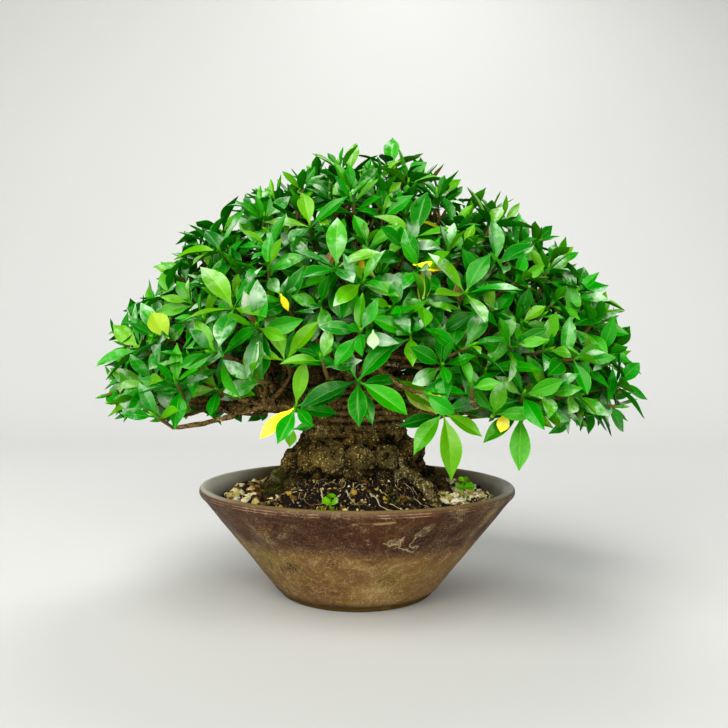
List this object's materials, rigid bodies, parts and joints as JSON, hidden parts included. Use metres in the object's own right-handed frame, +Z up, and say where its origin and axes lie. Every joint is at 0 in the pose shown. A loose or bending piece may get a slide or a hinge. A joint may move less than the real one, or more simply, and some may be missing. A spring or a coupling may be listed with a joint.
{
  "type": "potted bonsai tree",
  "caption": "Small gardenia bonsai with a thick burled trunk and a dense domed crown of glossy leaves, standing in soil in a cone-shaped clay pot.",
  "frame": {"origin": "middle of the pot's underside, on the surface it stands on", "axes": "+Z up along the pot's axis, -Y towards the tree's front, +X to the right of that front, along the crown's longest extent"},
  "size_m": [0.3563, 0.2502, 0.304],
  "materials": {
    "clay": "satin",
    "soil": "matte",
    "bark": "matte",
    "leaf": "satin",
    "herb": "matte"
  },
  "bodies": {
    "root": {"pot": "clay", "soil": "soil", "trunk": "bark", "seedling_front": "herb", "seedling_right": "herb", "shoot_01": "leaf", "shoot_02": "leaf", "shoot_03": "leaf", "shoot_04": "leaf", "shoot_05": "leaf", "shoot_06": "leaf", "shoot_07": "leaf", "shoot_08": "leaf", "shoot_09": "leaf", "shoot_10": "leaf", "shoot_11": "leaf", "shoot_12": "leaf", "shoot_13": "leaf", "shoot_14": "leaf", "shoot_15": "leaf", "shoot_16": "leaf", "shoot_17": "leaf", "shoot_18": "leaf", "shoot_19": "leaf", "shoot_20": "leaf", "shoot_21": "leaf", "shoot_22": "leaf", "shoot_23": "leaf", "shoot_24": "leaf", "shoot_25": "leaf", "shoot_26": "leaf", "shoot_27": "leaf", "shoot_28": "leaf", "shoot_29": "leaf", "shoot_30": "leaf", "shoot_31": "leaf", "shoot_32": "leaf", "shoot_33": "leaf", "shoot_34": "leaf", "shoot_35": "leaf", "shoot_36": "leaf", "shoot_37": "leaf", "shoot_38": "leaf", "shoot_39": "leaf", "shoot_40": "leaf", "shoot_41": "leaf", "shoot_42": "leaf", "shoot_43": "leaf", "shoot_44": "leaf", "shoot_45": "leaf", "shoot_46": "leaf", "shoot_47": "leaf", "shoot_48": "leaf", "shoot_49": "leaf", "shoot_50": "leaf", "shoot_51": "leaf", "shoot_52": "leaf", "shoot_53": "leaf"}
  },
  "joints": []
}
